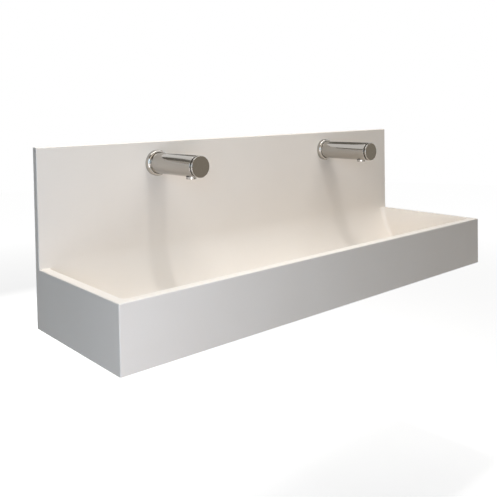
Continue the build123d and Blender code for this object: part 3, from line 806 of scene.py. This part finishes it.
class WASHTROUGH_OT_springs(bpy.types.Operator):
    """Wind the return springs behind the push buttons"""
    bl_idname = "washtrough.springs"
    bl_label = "Return springs"

    def execute(self, context):
        taps = context.scene.wash_trough.taps
        per_turn = 32
        for side in SIDES:
            low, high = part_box(f"tap_button_spring_{side}")
            free = high.y - low.y
            rise = (free - 2 * taps.spring_wire) / taps.spring_turns
            bm = bmesh.new()
            bmesh.ops.create_circle(bm, cap_ends=True, radius=taps.spring_wire, segments=12,
                                    matrix=Matrix.Rotation(QUARTER_TURN, 4, "X"))
            bmesh.ops.translate(bm, vec=(taps.spring_radius, 0, taps.spring_wire), verts=bm.verts)
            bmesh.ops.spin(bm, geom=bm.verts[:] + bm.edges[:] + bm.faces[:], cent=(0, 0, 0), axis=ALONG_Z,
                           dvec=(0, 0, rise / per_turn), angle=FULL_TURN * taps.spring_turns,
                           steps=per_turn * taps.spring_turns)
            bmesh.ops.translate(bm, vec=(0, 0, taps.face_y - high.y), verts=bm.verts)
            clean(bm)
            turn_to_tap(bm, side)
            spring = dress(f"tap_coil_spring_{side}", bm, ROOT_BODY, f"tap_button_spring_{side}")
            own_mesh(spring)
        return {"FINISHED"}


class WASHTROUGH_OT_nozzles(bpy.types.Operator):
    """Turn the outlet nozzles under the taps"""
    bl_idname = "washtrough.nozzles"
    bl_label = "Nozzles"

    def execute(self, context):
        taps = context.scene.wash_trough.taps
        low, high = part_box("tap_nozzle_left")
        end = low.z - taps.axis_z
        top = high.z - taps.axis_z
        shoulder = end + taps.nozzle_shoulder
        lip = end + taps.nozzle_lip_height
        outline = [(taps.nozzle_lip, end), (taps.nozzle_radius, end), (taps.nozzle_radius, shoulder),
                   (taps.nozzle_stem, shoulder), (taps.nozzle_stem, top), (taps.nozzle_bore, top),
                   (taps.nozzle_bore, lip), (taps.nozzle_lip, lip)]
        rounds = [(1, taps.nozzle_chamfer, 3), (0, EDGE_BREAK, 2), (2, EDGE_BREAK, 2)]
        for side in SIDES:
            bm = stand_at_nozzle(lathe(outline, rounds, steps=96), side)
            dress(f"tap_outlet_{side}", bm, ROOT_BODY, f"tap_nozzle_{side}")
        return {"FINISHED"}


# Threads, nuts and the outlet


def thread_points(crest, depth, pitch, low, high):
    """The outside of a threaded length from its low end to its high end, one ring for each turn."""
    turns = int((high - low) / pitch)
    start = high - turns * pitch
    points = [(crest - depth, low), (crest - depth, start)]
    for turn in range(turns):
        base = start + turn * pitch
        points += [(crest, base + 0.4 * pitch), (crest, base + 0.6 * pitch), (crest - depth, base + pitch)]
    return points


class WASHTROUGH_OT_inlets(bpy.types.Operator):
    """Turn the threaded inlets that carry the taps through the upstand"""
    bl_idname = "washtrough.inlets"
    bl_label = "Threaded inlets"

    def execute(self, context):
        taps = context.scene.wash_trough.taps
        for side in SIDES:
            low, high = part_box(f"tap_tail_{side}")
            radius = (high.x - low.x) / 2
            back = taps.face_y - high.y
            front = taps.face_y - low.y
            thread = thread_points(radius, taps.thread_depth, taps.thread_pitch, back + MM, front)
            outline = [(taps.inlet_bore, back), (radius - taps.thread_depth, back), *thread,
                       (taps.inlet_bore, front)]
            bm = turn_to_tap(lathe(outline, steps=64), side)
            dress(f"tap_threaded_inlet_{side}", bm, ROOT_BODY, f"tap_tail_{side}")
        return {"FINISHED"}


def hexagon_nut(flats, bore, low, high):
    """A hexagonal nut about Z with its corners chamfered and its bore countersunk."""
    corner = flats / math.sqrt(3)
    hexagon = bmesh.new()
    bmesh.ops.create_circle(hexagon, cap_ends=True, radius=corner, segments=6,
                            matrix=Matrix.Translation((0, 0, low)))
    grown = bmesh.ops.extrude_face_region(hexagon, geom=hexagon.faces[:])["geom"]
    tops = [item for item in grown if isinstance(item, bmesh.types.BMVert)]
    bmesh.ops.translate(hexagon, vec=(0, 0, high - low), verts=tops)
    bmesh.ops.recalc_face_normals(hexagon, faces=hexagon.faces)
    corner_cut = 0.55
    chamfer = (corner - flats / 2) * corner_cut
    reach = corner + chamfer
    sunk = 0.6 * MM
    blank = lathe([(bore + sunk, low), (flats / 2, low), (reach, low + chamfer), (reach, high - chamfer),
                   (flats / 2, high), (bore + sunk, high), (bore, high - sunk), (bore, low + sunk)], steps=96)
    return combine(hexagon, [("INTERSECT", blank)])


class WASHTROUGH_OT_nuts(bpy.types.Operator):
    """Make the hexagonal nuts of the outlet and of the taps"""
    bl_idname = "washtrough.nuts"
    bl_label = "Back nuts"

    def execute(self, context):
        settings = context.scene.wash_trough
        low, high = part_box("waste_back_nut")
        middle = node_middle("waste_back_nut")
        flats = min(high.x - low.x, high.y - low.y)
        bm = hexagon_nut(flats, settings.waste.crest + THREAD_GAP, low.z, high.z)
        turned = Matrix.Rotation(0 if high.x - low.x > high.y - low.y else HALF_FLAT, 4, "Z")
        bmesh.ops.transform(bm, matrix=Matrix.Translation((middle.x, middle.y, 0)) @ turned, verts=bm.verts)
        dress("waste_hexagon_nut", bm, ROOT_BODY, "waste_back_nut")
        for side in SIDES:
            low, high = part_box(f"tap_back_nut_{side}")
            tail_low, tail_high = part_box(f"tap_tail_{side}")
            flats = min(high.x - low.x, high.z - low.z)
            radius = (tail_high.x - tail_low.x) / 2
            face_y = settings.taps.face_y
            bm = hexagon_nut(flats, radius + THREAD_GAP, face_y - high.y, face_y - low.y)
            if high.x - low.x < high.z - low.z:
                bmesh.ops.transform(bm, matrix=Matrix.Rotation(HALF_FLAT, 4, "Z"), verts=bm.verts)
            turn_to_tap(bm, side)
            dress(f"tap_hexagon_nut_{side}", bm, ROOT_BODY, f"tap_back_nut_{side}")
        return {"FINISHED"}


class WASHTROUGH_OT_outlet(bpy.types.Operator):
    """Turn the flanged outlet with its threaded tail, and add the bar that holds the strainer"""
    bl_idname = "washtrough.outlet"
    bl_label = "Outlet"

    def execute(self, context):
        waste = context.scene.wash_trough.waste
        low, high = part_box("waste_body")
        middle = node_middle("waste_body")
        flange = (high.x - low.x) / 2
        top = high.z
        under = top - waste.flange_thickness
        recess = top - node_size("waste_grid", 2)
        root = waste.crest - waste.thread_depth
        thread = thread_points(waste.crest, waste.thread_depth, waste.thread_pitch,
                               low.z + waste.thread_start, under - waste.thread_end)
        outline = [(waste.bore, low.z), (root, low.z), *thread, (root, under), (flange, under), (flange, top),
                   (waste.grid_recess, top), (waste.grid_recess, recess), (waste.bore, recess)]
        rim_index = len(outline) - 4
        bm = lathe(outline, [(rim_index, waste.flange_round, 4), (rim_index + 1, EDGE_BREAK, 2)], steps=96)
        bar_top = under - waste.bar_drop
        bar_low = bar_top - waste.bar_size
        half_bar = waste.bar_size / 2
        reach = waste.bore + MM
        bar = block((-reach, -half_bar, bar_low), (reach, half_bar, bar_top))
        boss = rod(waste.boss_radius, bar_low, bar_top, 32)
        hole = rod(waste.screw_hole, bar_low - MM, bar_top + MM, 24)
        bm = combine(bm, [("UNION", bar), ("UNION", boss), ("DIFFERENCE", hole)])
        bmesh.ops.translate(bm, vec=(middle.x, middle.y, 0), verts=bm.verts)
        dress("waste_flanged_outlet", bm, ROOT_BODY, "waste_body")
        return {"FINISHED"}


class WASHTROUGH_OT_strainer(bpy.types.Operator):
    """Soften the punched edges of the strainer"""
    bl_idname = "washtrough.strainer"
    bl_label = "Strainer"

    def execute(self, context):
        dress("waste_strainer_plate", merged_copy("waste_grid", 0.2 * MM, 2), ROOT_BODY, "waste_grid")
        return {"FINISHED"}


class WASHTROUGH_OT_brackets(bpy.types.Operator):
    """Soften the edges of the two wall brackets, as powder coating does"""
    bl_idname = "washtrough.brackets"
    bl_label = "Wall brackets"

    def execute(self, context):
        for side in SIDES:
            bm = merged_copy(f"bracket_{side}", 0.8 * MM, 3)
            dress(f"wall_bracket_{side}", bm, ROOT_BODY, f"bracket_{side}")
        return {"FINISHED"}


class WASHTROUGH_OT_screws(bpy.types.Operator):
    """Soften the edges of the screws of the brackets, the strainer and the cover plates"""
    bl_idname = "washtrough.screws"
    bl_label = "Screws"

    def execute(self, context):
        pieces = [("bracket_button_screws", "bracket_screws"), ("waste_slotted_screw", "waste_grid_screw"),
                  *[(f"tap_socket_screw_{side}", f"tap_grub_screw_{side}") for side in SIDES]]
        for name, node in pieces:
            dress(name, merged_copy(node, 0.12 * MM, 1), ROOT_BODY, node)
        return {"FINISHED"}


class WASHTROUGH_OT_inner_parts(bpy.types.Operator):
    """Give every CAD part that still shows the finish of its slot in the record"""
    bl_idname = "washtrough.inner_parts"
    bl_label = "Seals, washers and valve parts"

    def execute(self, context):
        for name, part in frame["nodes"].items():
            part.data.materials.clear()
            part.data.materials.append(finish(slot_of(name)))
        return {"FINISHED"}


# The stage


# Name, place, target, size, watts, tint, and whether metal shows it
LAMPS = (
    ("overhead_strip", (0, -0.35, 1.6), (0, -0.35, 0.1), (2.0, 0.4), 16.5, "FFFFFF", True),
    ("overhead_softbox", (-0.2, -0.2, 1.5), (-0.2, -0.2, 0.1), (1.2, 1.2), 8.5, "FFFFFF", False),
    ("overhead_spot", (-0.3, -0.7, 2.35), (-0.1, -0.1, 0.1), (0.1, 0.1), 10, "FFFFFF", True),
    ("left_window", (-1.6, -1.9, 0.6), (-0.5, -0.3, 0), (0.9, 0.9), 11, "AAD9FF", True),
    ("near_softbox", (-0.85, -1.0, 0), (-0.5, -0.35, 0), (0.4, 0.4), 2.7, "F9F7FF", True),
    ("front_softbox", (0, -3, 1), (0, -0.3, 0.1), (2, 2), 4.5, "FFCB7C", True),
    ("rear_softbox", (0.2, 2.6, 0.9), (0.2, 0, 0.1), (0.8, 2.0), 30, "FFFFFF", False),
)

# Upright cards that only the metal shows: name, start and end on the floor plan, low and high edge, grey
CARDS = (
    ("flag_front_right", (0.7, -2.4), (3.6, -1.9), -0.6, 0.9, "A29B90"),
    ("flag_back_right", (0.45, 1.5), (4.0, 1.5), 0.0, 2.3, "7C7973"),
    ("flag_back_left", (-2.4, 1.5), (-0.45, 1.5), 1.15, 1.45, "7C7973"),
    ("wall_back_left", (-2.4, 1.5), (-0.2, 1.5), 0.2, 1.15, "CBC6C0"),
)
FLOOR_LEVEL = -0.83
FLOOR_RADIUS = 9
CEILING_CARD = ((-4, -4, 2.9), (2.5, -4, 2.9), (2.5, 0.9, 2.9), (-4, 0.9, 2.9))


def add_lamp(name, place, target, size, watts, tint, shown):
    """A soft rectangular lamp aimed at a point, which the camera doesn't see."""
    lamp = bpy.data.lights.new(name, "AREA")
    lamp.shape = "RECTANGLE"
    lamp.size, lamp.size_y = size
    lamp.energy = watts
    lamp.color = linear(tint)[:3]
    holder = bpy.data.objects.new(name, lamp)
    holder.visible_camera = False
    holder.visible_glossy = shown
    holder.location = place
    aim = Vector(target) - Vector(place)
    holder.rotation_euler = aim.to_track_quat("-Z", "Y").to_euler()
    bpy.context.scene.collection.objects.link(holder)


def stage_piece(name, bm, material):
    """A piece of the studio, which is no part of the trough."""
    mesh = bpy.data.meshes.new(name)
    bm.to_mesh(mesh)
    bm.free()
    mesh.materials.append(material)
    piece = bpy.data.objects.new(name, mesh)
    bpy.context.scene.collection.objects.link(piece)
    return piece


def add_card(name, corners, grey):
    """A card that only the polished metal shows, to give it something darker to reflect."""
    material, tree = empty_material(name)
    glow = add_node(tree, "ShaderNodeEmission", {"Color": linear(grey), "Strength": 1.0})
    add_node(tree, "ShaderNodeOutputMaterial", {"Surface": glow.outputs["Emission"]})
    bm = bmesh.new()
    bm.faces.new([bm.verts.new(corner) for corner in corners])
    card = stage_piece(name, bm, material)
    card.visible_camera = False
    card.visible_diffuse = False
    card.visible_shadow = False
    card.visible_transmission = False


def floor_material(colours):
    """A painted studio floor: matt and pale, and lifted to white where it is seen beyond the lamps' reach."""
    material, tree = empty_material("painted_studio_floor")
    paint = add_node(tree, "ShaderNodeBsdfDiffuse", {"Color": colours.floor})
    seen = seen_rays(tree)
    place = add_node(tree, "ShaderNodeTexCoord").outputs["Object"]
    distance = add_node(tree, "ShaderNodeVectorMath", {0: place}, operation="LENGTH")
    fading = add_node(tree, "ShaderNodeMapRange", {"Value": distance.outputs["Value"], "From Min": 1.4,
                                                   "From Max": 5.0, "To Min": 0.62, "To Max": 0.96})
    lift = add_node(tree, "ShaderNodeMath", {0: seen, 1: fading.outputs["Result"]}, operation="MULTIPLY")
    glow = add_node(tree, "ShaderNodeEmission", {"Strength": lift.outputs["Value"]})
    both = add_node(tree, "ShaderNodeAddShader", {0: paint.outputs["BSDF"], 1: glow.outputs["Emission"]})
    add_node(tree, "ShaderNodeOutputMaterial", {"Surface": both.outputs["Shader"]})
    return material


def seen_rays(tree):
    """One for rays from the camera, in a reflection or through glass, and zero for those that carry light."""
    path = add_node(tree, "ShaderNodeLightPath")
    seen = path.outputs["Is Camera Ray"]
    for other in ("Is Glossy Ray", "Is Transmission Ray"):
        both = add_node(tree, "ShaderNodeMath", {0: seen, 1: path.outputs[other]}, operation="ADD",
                        use_clamp=True)
        seen = both.outputs["Value"]
    return seen


def set_world():
    """White where it is seen, and a faint white light for everything else."""
    world = bpy.data.worlds.new("studio")
    world.use_nodes = True
    tree = world.node_tree
    tree.nodes.clear()
    ambient = add_node(tree, "ShaderNodeBackground", {"Color": linear("FFFFFF"), "Strength": 0.03})
    white = add_node(tree, "ShaderNodeBackground", {"Color": linear("FFFFFF"), "Strength": 1.0})
    mixed = add_node(tree, "ShaderNodeMixShader", {0: seen_rays(tree), 1: ambient.outputs["Background"],
                                                   2: white.outputs["Background"]})
    add_node(tree, "ShaderNodeOutputWorld", {"Surface": mixed.outputs["Shader"]})
    bpy.context.scene.world = world


def add_camera():
    """The photograph's viewpoint: a little above the taps, in front of the left end."""
    data = bpy.data.cameras.new("camera")
    data.sensor_width = 36
    data.lens = 46.77
    data.shift_y = -0.24155
    camera = bpy.data.objects.new("camera", data)
    rightward = Vector((0.753, -0.6579, -0.0162)).normalized()
    forward = Vector((0.6573, 0.753, -0.0309))
    forward = (forward - forward.dot(rightward) * rightward).normalized()
    upward = rightward.cross(forward)
    turned = Matrix((rightward, upward, -forward)).transposed().to_4x4()
    camera.matrix_world = Matrix.Translation((-1.1567, -1.3373, 0.4108)) @ turned
    bpy.context.scene.collection.objects.link(camera)
    bpy.context.scene.camera = camera


class WASHTROUGH_OT_stage(bpy.types.Operator):
    """Set the floor, the lamps, the surroundings and the camera"""
    bl_idname = "washtrough.stage"
    bl_label = "Studio"

    def execute(self, context):
        colours = context.scene.wash_trough.colours
        floor = bmesh.new()
        bmesh.ops.create_circle(floor, cap_ends=True, radius=FLOOR_RADIUS, segments=96,
                                matrix=Matrix.Translation((0, 0, FLOOR_LEVEL)))
        stage_piece("studio_floor", floor, floor_material(colours))
        for lamp in LAMPS:
            add_lamp(*lamp)
        for name, start, end, low, high, grey in CARDS:
            add_card(name, [(*start, low), (*end, low), (*end, high), (*start, high)], grey)
        add_card("flag_above", CEILING_CARD, "6C6965")
        set_world()
        add_camera()
        context.scene.view_settings.view_transform = "Standard"
        return {"FINISHED"}


STEPS = (
    WASHTROUGH_OT_shell, WASHTROUGH_OT_bodies, WASHTROUGH_OT_roses, WASHTROUGH_OT_buttons,
    WASHTROUGH_OT_springs, WASHTROUGH_OT_nozzles, WASHTROUGH_OT_inlets, WASHTROUGH_OT_nuts,
    WASHTROUGH_OT_outlet, WASHTROUGH_OT_strainer, WASHTROUGH_OT_brackets, WASHTROUGH_OT_screws,
    WASHTROUGH_OT_inner_parts, WASHTROUGH_OT_stage,
)


class WASHTROUGH_PT_panel(bpy.types.Panel):
    """Lists the steps that build the trough"""
    bl_idname = "WASHTROUGH_PT_panel"
    bl_label = "Wash trough"
    bl_space_type = "VIEW_3D"
    bl_region_type = "UI"
    bl_category = "Wash trough"

    def draw(self, context):
        for step in STEPS:
            self.layout.operator(step.bl_idname)


CLASSES = (WashTroughShell, WashTroughTaps, WashTroughWaste, WashTroughColours, WashTroughSettings, *STEPS,
           WASHTROUGH_PT_panel)


def register():
    """Register the classes and the settings."""
    for made in CLASSES:
        bpy.utils.register_class(made)
    bpy.types.Scene.wash_trough = PointerProperty(type=WashTroughSettings)


def unregister():
    """Take the settings and the classes away again."""
    del bpy.types.Scene.wash_trough
    for made in reversed(CLASSES):
        bpy.utils.unregister_class(made)


def main():
    """Build everything in order."""
    register()
    for step in STEPS:
        group, name = step.bl_idname.split(".")
        getattr(getattr(bpy.ops, group), name)()


if __name__ == "__main__":
    main()
